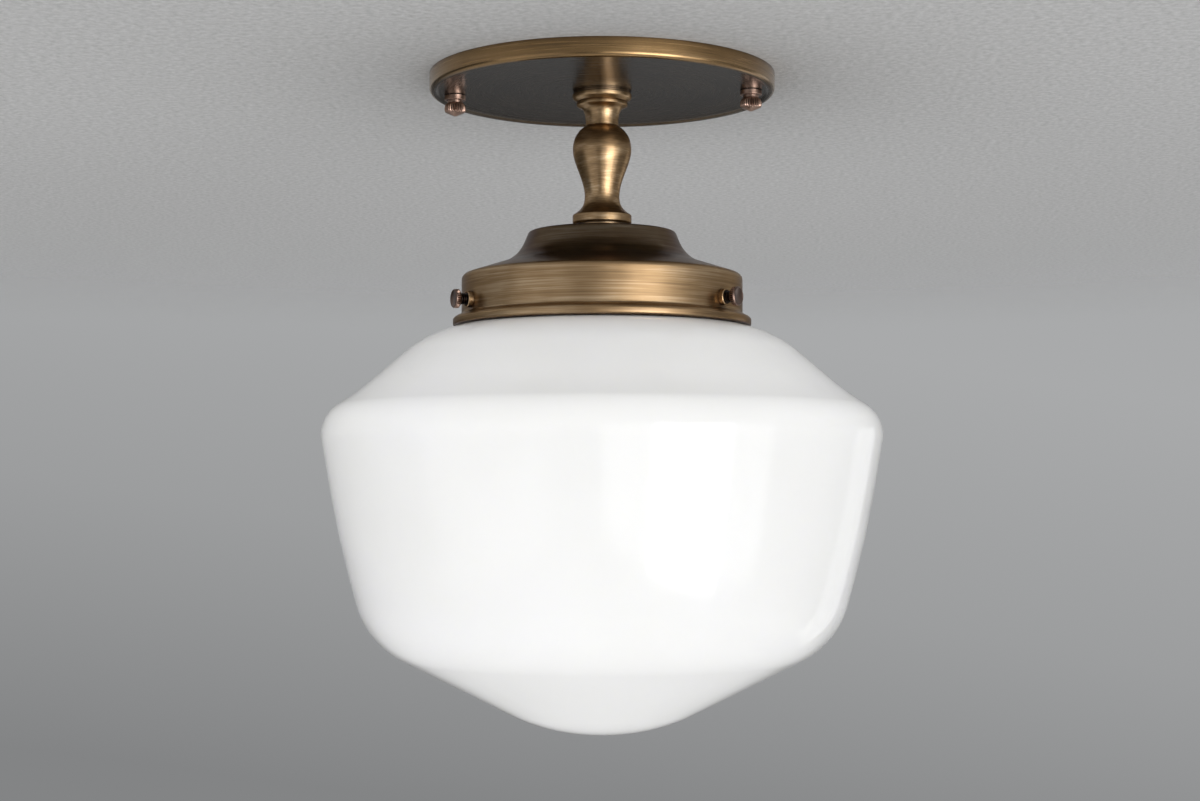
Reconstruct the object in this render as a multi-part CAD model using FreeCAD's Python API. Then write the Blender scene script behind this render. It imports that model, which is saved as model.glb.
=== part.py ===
import FreeCAD, Part
import math
import os

# Semi flush ceiling light with a schoolhouse shade: a shallow round canopy, a turned stem in
# three pieces, a spun shade holder with three thumb screws, and an opal glass shade.
# Millimetres, +Z up. The origin is where the light's axis meets the ceiling, so everything
# lies at or below z = 0. X runs along the crossbar, through both canopy knobs.

# ---- driving dimensions -------------------------------------------------------------------

# Clearances
thread_clearance = 0.03         # radial, between a fixed thread and its hole
running_clearance = 0.06        # radial, where a screw, knob or bulb turns
touch_gap = 0.1                 # between a moving tip or contact and what it presses on

# Canopy: a shallow spun pan
canopy_radius = 63.5
canopy_depth = 6.8
canopy_wall = 0.9
canopy_edge_round = 1.6
canopy_recess = 0.8             # how far the underside stands up inside the rim
canopy_rim_width = 2.4
canopy_recess_slope = 1.0
canopy_recess_round = 0.8
canopy_stud_hole_radius = 2.3

# Crossbar: the steel strap that is screwed to the ceiling box
crossbar_thickness = 1.5
crossbar_width = 20.0
crossbar_end_reach = 5.75       # past each stud's centre
crossbar_wire_hole_radius = 6.5
box_spacing_small = 69.85       # between the screws of the two common ceiling boxes
box_spacing_large = 88.9
box_slot_radius = 2.4

# Studs that hold the canopy up, with their nuts, and the knobs below
stud_edge_inset = 8.75          # from the canopy's rim to each stud's centre
stud_radius = 2.08
stud_below_canopy = 6.2
stud_nut_flats = 8.7
stud_nut_height = 3.0
knob_collar_radius = 4.0
knob_collar_height = 1.85
knob_neck_radius = 2.85
knob_neck_height = 0.95
knob_head_radius = 3.95
knob_head_height = 3.7
knob_head_top_radius = 3.0      # the head is a barrel: narrower at its top and foot
knob_head_shoulder_radius = 3.7
knob_head_shoulder_drop = 0.7
knob_head_side_drop = 1.7
knob_head_foot_radius = 3.5
knob_head_foot_slope = 0.8
knob_point_height = 1.3
knob_point_radius = 0.5
knob_ridge_count = 26
knob_ridge_depth = 0.22

# Ground screw, beside the wire hole
ground_screw_x = -20.0
ground_shank_radius = 2.4
ground_flange_radius = 4.6
ground_flange_height = 0.8
ground_hex_flats = 6.35
ground_hex_height = 2.0

# Hollow threaded nipple, its nuts and its toothed washers
nipple_radius = 4.9
nipple_bore_radius = 3.3
nipple_above_nut = 0.1
nipple_nut_flats = 15.9
nipple_nut_height = 2.4
lock_washer_radius = 7.6
lock_washer_height = 0.6
lock_washer_tooth_count = 12
lock_washer_tooth_depth = 1.1

# Stem collar, under the canopy: a thin fillet, a bead, a narrow ridge and a concave flare
collar_fillet_radius = 10.5
collar_fillet_height = 0.6
collar_bead_radius = 10.9
collar_bead_height = 3.0
collar_bead_side = 1.6          # its upright part
collar_bead_round = 1.3
collar_cove_radius = 9.1
collar_ridge_radius = 9.4
collar_ridge_height = 1.8
collar_ridge_bevel = 0.3
collar_ridge_foot_bevel = 0.5
collar_ridge_round = 0.3
collar_flare_radius = 8.6
collar_height = 12.4
collar_flare_pull_in = 2.0      # how far the flare runs inward before it turns down
collar_flare_pull_down = 0.4
collar_flare_pull_up = 4.4      # how far it rises straight from its foot
stem_radius = 6.0

# Stem baluster: a vase shape
baluster_height = 32.7
belly_radius = 10.8
belly_drop = 8.8                # below the baluster's top
waist_radius = 6.38
waist_drop = 26.2
baluster_foot_radius = 10.2
baluster_top_pull_out = 2.45    # how far the belly's curve runs outward at the top
baluster_top_pull_down = 1.4
belly_pull_up = 4.6             # how far it runs straight above the belly
belly_pull_down = 5.2           # and below it
waist_pull_up = 6.2
waist_pull_down = 2.6
baluster_foot_pull_in = 2.9
baluster_foot_pull_up = 1.9

# Stem foot: a bead over a narrower base
foot_height = 6.8
foot_bead_radius = 10.85
foot_bead_height = 3.8
foot_bead_bevel = 0.55
foot_bead_round = 0.4
foot_base_radius = 9.4

# Shade holder: flat top, flared side, sloping shoulder, upright band, rolled lip
holder_wall = 1.0
holder_top_radius = 27.0
holder_top_round = 0.8
holder_side_flare = 4.0         # how far the side leans out
holder_side_height = 9.7
holder_side_round = 13.5
holder_shoulder_fall = 6.6
holder_shoulder_round = 2.0
holder_band_below_screws = 3.4
holder_lip_flare_height = 1.5
holder_lip_flare_round = 0.7
holder_lip_overhang = 3.15
holder_lip_height = 2.8
holder_lip_round = 1.35
holder_rim_round = 0.45

# Shade: blown opal glass. Each corner has its radius, its drop below the top and its rounding
shade_wall = 3.5
fitter_lip_radius = 49.3
fitter_lip_height = 3.0
fitter_lip_slope_height = 2.4
fitter_lip_round = 0.8
fitter_radial_gap = 1.15        # between the fitter lip and the holder's band
shade_below_shoulder = 2.4      # from the holder's shoulder corner to the shade's top
shade_neck_radius = 46.5
shade_neck_drop = 15.5
shade_neck_round = 2.0
shoulder_top_radius = 62.1
shoulder_top_drop = 17.4
shoulder_top_round = 43.0
shoulder_dip_radius = 89.5
shoulder_dip_drop = 41.0
shoulder_dip_round = 90.0
widest_corner_radius = 103.2
widest_corner_drop = 49.5
widest_corner_round = 12.8
shade_height = 164.0
side_bend_radius = 95.4
side_bend_share = 0.57          # of the shade's height, from its top
side_bend_round = 320.0
lower_corner_radius = 85.2
lower_corner_share = 0.7945
lower_corner_round = 31.6
bowl_corner_radius = 19.2
bowl_round = 70.0

# Thumb screws, three of them, and the bosses they turn in
thumb_screw_count = 3
first_thumb_screw_angle = 90.0
thumb_screw_radius = 2.08
thumb_head_radius = 3.4
thumb_head_thickness = 2.2
thumb_head_bevel = 0.5
thumb_head_socket = 1.2
thumb_shank_showing = 2.7       # between the boss and the head
thumb_lip_gap = 0.5             # between the fitter lip's slope and the screw
boss_radius = 2.9
boss_height = 1.95

# Lampholder: metal cap, porcelain body, screw shell and centre contact
holder_hub_radius = 8.0
holder_hub_height = 6.0
nipple_short_of_hub = 1.0
lamp_cap_radius = 18.5
lamp_cap_wall = 0.8
lamp_cap_height = 22.0
lamp_cap_top_drop = 2.0
lamp_cap_slope = 2.5
lamp_cap_round = 3.0
lamp_spigot_height = 6.0
lamp_spigot_gap = 0.1
lamp_web_thickness = 5.0
lamp_body_radius = 19.5
lamp_body_height = 26.0
lamp_body_round = 1.2
shell_radius = 13.3             # inside the screw shell
shell_wall = 0.45
shell_short_of_body = 1.0
shell_hole_radius = 5.0
contact_plate_radius = 4.0
contact_plate_height = 0.6
contact_post_radius = 1.5
contact_button_radius = 3.2
contact_button_height = 2.2
cap_screw_radius = 1.5
cap_screw_head_radius = 2.7
cap_screw_head_height = 1.4
cap_screw_depth = 2.5

# Leads inside the nipple
lead_radius = 1.3
lead_offset = 1.6               # of each lead from the axis, in the nipple
lead_top_gap = 0.6              # below the nipple's top
neutral_lead_offset = 7.6       # where the neutral lead enters the porcelain
lead_bend_radius = 8.0
lead_bend_gap = 0.3             # from the lead's bend to the porcelain

# Lamp: a screw-in bulb
bulb_contact_radius = 4.0
bulb_contact_height = 1.3
bulb_insulator_radius = 9.5
bulb_insulator_height = 3.0
bulb_screw_radius = 13.24
bulb_screw_height = 23.5
bulb_screw_taper = 3.0
bulb_screw_wall = 0.6
bulb_housing_height = 33.0
bulb_radius = 30.0
bulb_housing_neck = 3.0
bulb_housing_rim = 7.0
bulb_housing_neck_round = 10.0
bulb_housing_rim_round = 14.0
bulb_housing_wall = 1.6
bulb_board_thickness = 1.6
bulb_board_inset = 0.3
bulb_diffuser_straight = 16.0
bulb_diffuser_wall = 1.5

# ---- worked-out places --------------------------------------------------------------------

canopy_under_z = canopy_recess - canopy_depth
canopy_inside_z = canopy_under_z + canopy_wall
collar_top_z = canopy_under_z
baluster_top_z = collar_top_z - collar_height
foot_top_z = baluster_top_z - baluster_height
holder_top_z = foot_top_z - foot_height
holder_inside_z = holder_top_z - holder_wall
shoulder_corner_z = holder_top_z - holder_side_height - holder_shoulder_fall
band_radius = fitter_lip_radius + fitter_radial_gap + holder_wall
shade_top_z = shoulder_corner_z - shade_below_shoulder
thumb_screw_z = (shade_top_z - fitter_lip_height - fitter_lip_slope_height
                 - thumb_lip_gap - thumb_screw_radius)
band_bottom_z = thumb_screw_z - holder_band_below_screws
lip_top_z = band_bottom_z - holder_lip_flare_height
holder_bottom_z = lip_top_z - holder_lip_height
stud_x = canopy_radius - stud_edge_inset
nipple_hole_radius = nipple_radius + running_clearance
top_nut_z = canopy_inside_z + lock_washer_height
nipple_top_z = top_nut_z + nipple_nut_height + nipple_above_nut
bottom_nut_top_z = holder_inside_z - lock_washer_height
hub_top_z = bottom_nut_top_z - nipple_nut_height
nipple_bottom_z = hub_top_z - holder_hub_height + nipple_short_of_hub
lamp_cap_rim_z = hub_top_z - lamp_cap_height
web_top_z = lamp_cap_rim_z + lamp_spigot_height
web_bottom_z = web_top_z - lamp_web_thickness
lamp_body_bottom_z = lamp_cap_rim_z - lamp_body_height
contact_bottom_z = web_bottom_z - contact_button_height
bulb_top_z = contact_bottom_z - touch_gap
insulator_top_z = bulb_top_z - bulb_contact_height
bulb_screw_top_z = insulator_top_z - bulb_insulator_height
housing_top_z = bulb_screw_top_z - bulb_screw_height
diffuser_top_z = housing_top_z - bulb_housing_height
thumb_head_inner = band_radius + boss_height + thumb_shank_showing
thumb_tip = shade_neck_radius + touch_gap


# ---- drawing helpers ----------------------------------------------------------------------

def point(radius, z):
    """A point of a turned outline, in the XZ plane."""
    return FreeCAD.Vector(radius, 0, z)


def corner_cut(before, corner, after, rounding):
    """Where a rounding of this radius leaves the two straight runs, and its middle."""
    back = (before - corner).normalize()
    ahead = (after - corner).normalize()
    half_angle = back.getAngle(ahead) / 2
    reach = rounding / math.tan(half_angle)
    middle_line = (back + ahead).normalize()
    centre = corner + middle_line * (rounding / math.sin(half_angle))
    return corner + back * reach, centre - middle_line * rounding, corner + ahead * reach


def rounded_edges(corners):
    """Straight runs and tangent arcs through corners given as (radius, z, rounding)."""
    points = [point(radius, z) for radius, z, rounding in corners]
    edges = []
    start = points[0]
    for index in range(1, len(corners) - 1):
        rounding = corners[index][2]
        if rounding == 0:
            edges.append(Part.makeLine(start, points[index]))
            start = points[index]
            continue
        first, middle, last = corner_cut(points[index - 1], points[index], points[index + 1],
                                         rounding)
        if start.distanceToPoint(first) > 1e-6:
            edges.append(Part.makeLine(start, first))
        edges.append(Part.Arc(first, middle, last).toShape())
        start = last
    edges.append(Part.makeLine(start, points[-1]))
    return edges


def inset_corners(corners, wall):
    """The same outline moved to its right-hand side by the wall, with matching roundings."""
    lines = []
    for (r1, z1, _), (r2, z2, _) in zip(corners, corners[1:]):
        length = math.hypot(r2 - r1, z2 - z1)
        normal = ((z2 - z1) / length, -(r2 - r1) / length)
        lines.append((r1 + normal[0] * wall, z1 + normal[1] * wall,
                      (r2 - r1) / length, (z2 - z1) / length))
    moved = [(lines[0][0], lines[0][1], 0)]
    for index in range(1, len(lines)):
        r1, z1, u1, w1 = lines[index - 1]
        r2, z2, u2, w2 = lines[index]
        turn = u1 * w2 - w1 * u2
        along = ((r2 - r1) * w2 - (z2 - z1) * u2) / turn
        rounding = corners[index][2]
        if rounding:
            rounding = max(rounding + math.copysign(wall, turn), 0)
        moved.append((r1 + u1 * along, z1 + w1 * along, rounding))
    last = corners[-1]
    r2, z2, u2, w2 = lines[-1]
    run = math.hypot(last[0] - corners[-2][0], last[1] - corners[-2][1])
    moved.append((r2 + u2 * run, z2 + w2 * run, 0))
    return moved


def turned(edges):
    """A full turn, about the Z axis, of the closed outline that these edges make."""
    face = Part.Face(Part.Wire(Part.__sortEdges__(edges)))
    solid = face.revolve(FreeCAD.Vector(0, 0, 0), FreeCAD.Vector(0, 0, 1), 360)
    if solid.Volume < 0:
        solid.reverse()
    return solid


def turned_corners(corners):
    """A full turn of a closed outline given as corners; the last joins the first."""
    return turned(rounded_edges(corners + [corners[0]]))


def turned_shell(outer, wall):
    """A spun wall: its outer outline, the same outline inset, and straight ends."""
    outside = rounded_edges(outer)
    inner = inset_corners(outer, wall)
    inside = rounded_edges(inner)
    ends = [Part.makeLine(point(*outer[0][:2]), point(*inner[0][:2])),
            Part.makeLine(point(*outer[-1][:2]), point(*inner[-1][:2]))]
    return turned(outside + inside + ends)


def curve(start, start_pull, end_pull, end):
    """A smooth curve between two outline points, pulled towards two others."""
    bezier = Part.BezierCurve()
    bezier.setPoles([point(*pole) for pole in (start, start_pull, end_pull, end)])
    return bezier.toShape()


def rod(radius, low_z, high_z, x=0.0, y=0.0):
    return Part.makeCylinder(radius, high_z - low_z, FreeCAD.Vector(x, y, low_z))


def tube(bore, radius, low_z, high_z, x=0.0, y=0.0):
    return rod(radius, low_z, high_z, x, y).cut(rod(bore, low_z, high_z, x, y))


def ring_of_points(radii, z):
    """A closed flat wire whose points take the given radii in turn, evenly round the axis."""
    step = 2 * math.pi / len(radii)
    points = [FreeCAD.Vector(radius * math.cos(step * index), radius * math.sin(step * index), z)
              for index, radius in enumerate(radii)]
    return Part.makePolygon(points + [points[0]])


def toothed_prism(radius, depth, count, low_z, high_z):
    """A straight-knurled bar: pointed ridges of this count and depth."""
    outline = ring_of_points([radius, radius - depth] * count, low_z)
    return Part.Face(outline).extrude(FreeCAD.Vector(0, 0, high_z - low_z))


def hex_prism(flats, low_z, high_z, x=0.0, y=0.0):
    corner_radius = flats / math.sqrt(3)
    prism = Part.Face(ring_of_points([corner_radius] * 6, low_z))
    prism = prism.extrude(FreeCAD.Vector(0, 0, high_z - low_z))
    prism.translate(FreeCAD.Vector(x, y, 0))
    return prism


def hex_nut(flats, bore, low_z, high_z, x=0.0, y=0.0):
    """A hexagon nut with both rims turned down to the flats."""
    radius = flats / math.sqrt(3)
    rim = radius - flats / 2
    blank = turned_corners([(0, low_z, 0), (radius - rim, low_z, 0), (radius, low_z + rim / 2, 0),
                            (radius, high_z - rim / 2, 0), (radius - rim, high_z, 0),
                            (0, high_z, 0)])
    blank.translate(FreeCAD.Vector(x, y, 0))
    return hex_prism(flats, low_z, high_z, x, y).common(blank).cut(rod(bore, low_z, high_z, x, y))


def pointing_out(shape, angle, z):
    """Turns a shape built up along +Z so that it points outward at this angle and height."""
    placed = shape.copy()
    placed.rotate(FreeCAD.Vector(0, 0, 0), FreeCAD.Vector(0, 1, 0), 90)
    placed.rotate(FreeCAD.Vector(0, 0, 0), FreeCAD.Vector(0, 0, 1), angle)
    placed.translate(FreeCAD.Vector(0, 0, z))
    return placed


def thumb_screw_angles():
    step = 360.0 / thumb_screw_count
    return [first_thumb_screw_angle + step * index for index in range(thumb_screw_count)]


def save(shape, node):
    """Writes one node, after checking that its solids are sound."""
    if not shape.isValid():
        raise ValueError(node + " is not a sound solid")
    shape.exportStep("parts/" + node + ".step")
    print(node, "solids", len(shape.Solids), "volume", round(shape.Volume, 2))


# ---- ceiling end --------------------------------------------------------------------------

def slot(centre_x, length, radius, low_z, high_z):
    """A slot along X, as a cutting tool."""
    half_run = length / 2 - radius
    middle = Part.makeBox(2 * half_run, 2 * radius, high_z - low_z,
                          FreeCAD.Vector(centre_x - half_run, -radius, low_z))
    ends = [rod(radius, low_z, high_z, centre_x + side * half_run) for side in (-1, 1)]
    return middle.fuse(ends)


def make_crossbar():
    """Flat strap with round ends: box slots, wire hole, and tapped holes for studs and ground."""
    half_length = stud_x + crossbar_end_reach
    end_radius = crossbar_width / 2
    low_z = -crossbar_thickness
    strap = slot(0, 2 * half_length, end_radius, low_z, 0)
    slot_centre = (box_spacing_small + box_spacing_large) / 4
    slot_length = (box_spacing_large - box_spacing_small) / 2 + 2 * box_slot_radius
    cuts = [rod(crossbar_wire_hole_radius, low_z, 0),
            rod(ground_shank_radius + thread_clearance, low_z, 0, ground_screw_x)]
    for side in (-1, 1):
        cuts.append(slot(side * slot_centre, slot_length, box_slot_radius, low_z, 0))
        cuts.append(rod(stud_radius + thread_clearance, low_z, 0, side * stud_x))
    return strap.cut(cuts).removeSplitter()


def make_canopy_studs():
    low_z = canopy_under_z - stud_below_canopy
    return Part.makeCompound([rod(stud_radius, low_z, 0, side * stud_x) for side in (-1, 1)])


def make_stud_nuts():
    high_z = -crossbar_thickness
    bore = stud_radius + thread_clearance
    nuts = [hex_nut(stud_nut_flats, bore, high_z - stud_nut_height, high_z, side * stud_x)
            for side in (-1, 1)]
    return Part.makeCompound(nuts)


def make_ground_screw():
    flange_top = -crossbar_thickness
    hex_top = flange_top - ground_flange_height
    screw = rod(ground_shank_radius, flange_top, 0, ground_screw_x)
    flange = rod(ground_flange_radius, hex_top, flange_top, ground_screw_x)
    head = hex_prism(ground_hex_flats, hex_top - ground_hex_height, hex_top, ground_screw_x)
    return screw.fuse([flange, head]).removeSplitter()


def make_canopy():
    """Spun pan, open upward: a low rim round a flat underside, and three holes."""
    rim_radius = canopy_radius - canopy_rim_width
    outline = [(canopy_radius, 0, 0), (canopy_radius, -canopy_depth, canopy_edge_round),
               (rim_radius, -canopy_depth, canopy_recess_round),
               (rim_radius - canopy_recess_slope, canopy_under_z, canopy_recess_round),
               (nipple_hole_radius, canopy_under_z, 0)]
    pan = turned_shell(outline, canopy_wall)
    holes = [rod(canopy_stud_hole_radius, canopy_under_z, canopy_inside_z, side * stud_x)
             for side in (-1, 1)]
    return pan.cut(holes)


def make_knob_collar():
    """Plain lower part of a canopy knob: a flange against the canopy and a short neck."""
    bore = stud_radius + running_clearance
    flange_z = canopy_under_z - knob_collar_height
    flange = tube(bore, knob_collar_radius, flange_z, canopy_under_z)
    neck = tube(bore, knob_neck_radius, flange_z - knob_neck_height, flange_z)
    return flange.fuse(neck).removeSplitter()


def make_knob_head():
    """Knurled head of a canopy knob, with a blunt point below and a blind hole for the stud."""
    top_z = canopy_under_z - knob_collar_height - knob_neck_height
    bottom_z = top_z - knob_head_height
    blank = turned_corners([(0, top_z, 0), (knob_head_top_radius, top_z, 0),
                            (knob_head_shoulder_radius, top_z - knob_head_shoulder_drop, 0),
                            (knob_head_radius, top_z - knob_head_side_drop, 0),
                            (knob_head_radius, bottom_z + knob_head_foot_slope, 0),
                            (knob_head_foot_radius, bottom_z, 0),
                            (knob_point_radius, bottom_z - knob_point_height, 0),
                            (0, bottom_z - knob_point_height, 0)])
    ridges = toothed_prism(knob_head_radius, knob_ridge_depth, knob_ridge_count,
                           bottom_z - knob_point_height, top_z)
    hole_depth_z = canopy_under_z - stud_below_canopy - touch_gap
    return blank.common(ridges).cut(rod(stud_radius + running_clearance, hole_depth_z, top_z))


# ---- stem ---------------------------------------------------------------------------------

def make_nipple():
    return tube(nipple_bore_radius, nipple_radius, nipple_bottom_z, nipple_top_z)


def make_lock_washer(low_z):
    """Toothed washer on the nipple."""
    teeth = toothed_prism(lock_washer_radius, lock_washer_tooth_depth, lock_washer_tooth_count,
                          low_z, low_z + lock_washer_height)
    return teeth.cut(rod(nipple_radius + thread_clearance, low_z, low_z + lock_washer_height))


def make_nipple_nut(low_z):
    bore = nipple_radius + thread_clearance
    return hex_nut(nipple_nut_flats, bore, low_z, low_z + nipple_nut_height)


def closed_by_lines(edges, outline_points):
    """Adds the straight runs that join the given outline points in order."""
    runs = [Part.makeLine(point(*first), point(*second))
            for first, second in zip(outline_points, outline_points[1:])]
    return turned(edges + runs)


def make_neck_collar():
    """Bead under a thin fillet, a narrow ridge, and a concave flare."""
    fillet_z = collar_top_z - collar_fillet_height
    cove_z = fillet_z - collar_bead_height
    flare_z = cove_z - collar_ridge_height
    moulding = rounded_edges([(nipple_hole_radius, collar_top_z, 0),
                              (collar_fillet_radius, collar_top_z, 0),
                              (collar_fillet_radius, fillet_z, 0),
                              (collar_bead_radius, fillet_z, 0),
                              (collar_bead_radius, fillet_z - collar_bead_side,
                               collar_bead_round),
                              (collar_cove_radius, cove_z, 0),
                              (collar_ridge_radius, cove_z - collar_ridge_bevel,
                               collar_ridge_round),
                              (collar_ridge_radius, flare_z + collar_ridge_foot_bevel,
                               collar_ridge_round),
                              (collar_flare_radius, flare_z, 0)])
    flare = curve((collar_flare_radius, flare_z),
                  (collar_flare_radius - collar_flare_pull_in,
                   flare_z - collar_flare_pull_down),
                  (stem_radius, baluster_top_z + collar_flare_pull_up),
                  (stem_radius, baluster_top_z))
    bore_side = [(stem_radius, baluster_top_z), (nipple_hole_radius, baluster_top_z),
                 (nipple_hole_radius, collar_top_z)]
    return closed_by_lines(moulding + [flare], bore_side)


def make_neck_baluster():
    """Vase: full belly near the top, slim waist, and a flared foot."""
    top_z = baluster_top_z
    belly_z = top_z - belly_drop
    waist_z = top_z - waist_drop
    belly_top = curve((stem_radius, top_z),
                      (stem_radius + baluster_top_pull_out, top_z - baluster_top_pull_down),
                      (belly_radius, belly_z + belly_pull_up), (belly_radius, belly_z))
    taper = curve((belly_radius, belly_z), (belly_radius, belly_z - belly_pull_down),
                  (waist_radius, waist_z + waist_pull_up), (waist_radius, waist_z))
    flare = curve((waist_radius, waist_z), (waist_radius, waist_z - waist_pull_down),
                  (baluster_foot_radius - baluster_foot_pull_in,
                   foot_top_z + baluster_foot_pull_up),
                  (baluster_foot_radius, foot_top_z))
    bore_side = [(baluster_foot_radius, foot_top_z), (nipple_hole_radius, foot_top_z),
                 (nipple_hole_radius, top_z), (stem_radius, top_z)]
    return closed_by_lines([belly_top, taper, flare], bore_side)


def make_neck_foot():
    """Bead with eased edges over a narrower base."""
    bead_bottom = foot_top_z - foot_bead_height
    edge_radius = foot_bead_radius - foot_bead_bevel
    return turned_corners([(nipple_hole_radius, foot_top_z, 0), (edge_radius, foot_top_z, 0),
                           (foot_bead_radius, foot_top_z - foot_bead_bevel, foot_bead_round),
                           (foot_bead_radius, bead_bottom + foot_bead_bevel, foot_bead_round),
                           (edge_radius, bead_bottom, 0), (foot_base_radius, bead_bottom, 0),
                           (foot_base_radius, holder_top_z, 0),
                           (nipple_hole_radius, holder_top_z, 0)])


# ---- shade holder and its screws ----------------------------------------------------------

def make_shade_holder():
    """Spun holder: one outline down the outside, one up the inside, and three screw holes."""
    side_foot_radius = holder_top_radius + holder_side_flare
    side_foot_z = holder_top_z - holder_side_height
    outer = [(nipple_hole_radius, holder_top_z, 0),
             (holder_top_radius, holder_top_z, holder_top_round),
             (side_foot_radius, side_foot_z, holder_side_round),
             (band_radius, shoulder_corner_z, holder_shoulder_round),
             (band_radius, band_bottom_z, 0)]
    inner = inset_corners(outer, holder_wall)
    inner_radius = band_radius - holder_wall
    lip_radius = band_radius + holder_lip_overhang
    seam_z = (shoulder_corner_z + band_bottom_z) / 2
    lip = [(band_radius, seam_z, 0),
           (band_radius, band_bottom_z, holder_lip_flare_round),
           (lip_radius, lip_top_z, holder_lip_round),
           (lip_radius, holder_bottom_z, holder_lip_round),
           (inner_radius, holder_bottom_z, holder_rim_round),
           (inner_radius, seam_z, 0)]
    upper_outer = outer[:-1] + [lip[0]]
    upper_inner = inner[:-1] + [lip[-1]]
    cap_end = Part.makeLine(point(*outer[0][:2]), point(*inner[0][:2]))
    outline = rounded_edges(upper_outer) + rounded_edges(lip) + rounded_edges(upper_inner)
    body = turned(outline + [cap_end])
    bore = thumb_screw_radius + running_clearance
    holes = [pointing_out(rod(bore, inner_radius - holder_wall, band_radius + holder_wall),
                          angle, thumb_screw_z) for angle in thumb_screw_angles()]
    return body.cut(holes)


def make_screw_bosses():
    """Short tapped bosses, each shaped to the band behind it."""
    bore = thumb_screw_radius + running_clearance
    boss = tube(bore, boss_radius, band_radius - holder_wall, band_radius + boss_height)
    band = rod(band_radius, band_bottom_z, shoulder_corner_z)
    bosses = [pointing_out(boss, angle, thumb_screw_z).cut(band)
              for angle in thumb_screw_angles()]
    return Part.makeCompound(bosses)


def make_thumb_screw_shank(angle):
    shank = rod(thumb_screw_radius, thumb_tip, thumb_head_inner + thumb_head_socket)
    return pointing_out(shank, angle, thumb_screw_z)


def make_thumb_screw_head(angle):
    """Knurled disc with bevelled rims and a socket for its shank."""
    low = thumb_head_inner
    high = low + thumb_head_thickness
    rim = thumb_head_radius - thumb_head_bevel
    blank = turned_corners([(0, low, 0), (rim, low, 0),
                            (thumb_head_radius, low + thumb_head_bevel, 0),
                            (thumb_head_radius, high - thumb_head_bevel, 0),
                            (rim, high, 0), (0, high, 0)])
    ridges = toothed_prism(thumb_head_radius, knob_ridge_depth, knob_ridge_count, low, high)
    socket_end = low + thumb_head_socket + running_clearance
    socket = rod(thumb_screw_radius + running_clearance, low, socket_end)
    return pointing_out(blank.common(ridges).cut(socket), angle, thumb_screw_z)


# ---- shade --------------------------------------------------------------------------------

def make_shade():
    """Opal glass: fitter lip and neck, rounded shoulder, tapering side and shallow bowl."""
    def corner(radius, drop, rounding):
        return (radius, shade_top_z - drop, rounding)

    neck_start_drop = fitter_lip_height + fitter_lip_slope_height
    body = [corner(shade_neck_radius, neck_start_drop, 0),
            corner(shade_neck_radius, shade_neck_drop, shade_neck_round),
            corner(shoulder_top_radius, shoulder_top_drop, shoulder_top_round),
            corner(shoulder_dip_radius, shoulder_dip_drop, shoulder_dip_round),
            corner(widest_corner_radius, widest_corner_drop, widest_corner_round),
            corner(side_bend_radius, side_bend_share * shade_height, side_bend_round),
            corner(lower_corner_radius, lower_corner_share * shade_height, lower_corner_round),
            corner(bowl_corner_radius, shade_height, bowl_round),
            corner(0, shade_height, 0)]
    inner = inset_corners(body, shade_wall)
    inner_radius = shade_neck_radius - shade_wall
    inner[0] = (inner_radius, shade_top_z, 0)
    lip = [corner(inner_radius, 0, 0),
           corner(fitter_lip_radius, 0, fitter_lip_round),
           corner(fitter_lip_radius, fitter_lip_height, fitter_lip_round)] + body[:1]
    bottom = Part.makeLine(point(*body[-1][:2]), point(*inner[-1][:2]))
    return turned(rounded_edges(lip) + rounded_edges(body) + rounded_edges(inner) + [bottom])


# ---- lampholder and leads -----------------------------------------------------------------

def make_lampholder_cap():
    """Metal cap: a hub on the nipple and a cup over the porcelain body's spigot."""
    shoulder_z = hub_top_z - lamp_cap_top_drop
    outer = [(holder_hub_radius, shoulder_z, 0),
             (lamp_cap_radius, shoulder_z - lamp_cap_slope, lamp_cap_round),
             (lamp_cap_radius, lamp_cap_rim_z, 0)]
    cup = turned_shell(outer, lamp_cap_wall)
    bore = nipple_radius + thread_clearance
    hub = tube(bore, holder_hub_radius, hub_top_z - holder_hub_height, hub_top_z)
    screw_hole = cap_screw_radius + thread_clearance
    screw_z = (web_top_z + lamp_cap_rim_z) / 2
    holes = [pointing_out(rod(screw_hole, lamp_cap_radius - 2 * lamp_cap_wall,
                              lamp_cap_radius + lamp_cap_wall), angle, screw_z)
             for angle in (-90, 90)]
    return cup.fuse(hub).removeSplitter().cut(holes)


def make_cap_screws():
    """Two side screws that hold the cap to the porcelain."""
    screw_z = (web_top_z + lamp_cap_rim_z) / 2
    shank = rod(cap_screw_radius, lamp_cap_radius - cap_screw_depth, lamp_cap_radius)
    head = rod(cap_screw_head_radius, lamp_cap_radius, lamp_cap_radius + cap_screw_head_height)
    screw = shank.fuse(head)
    screws = [pointing_out(screw, angle, screw_z) for angle in (-90, 90)]
    return Part.makeCompound(screws)


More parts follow.
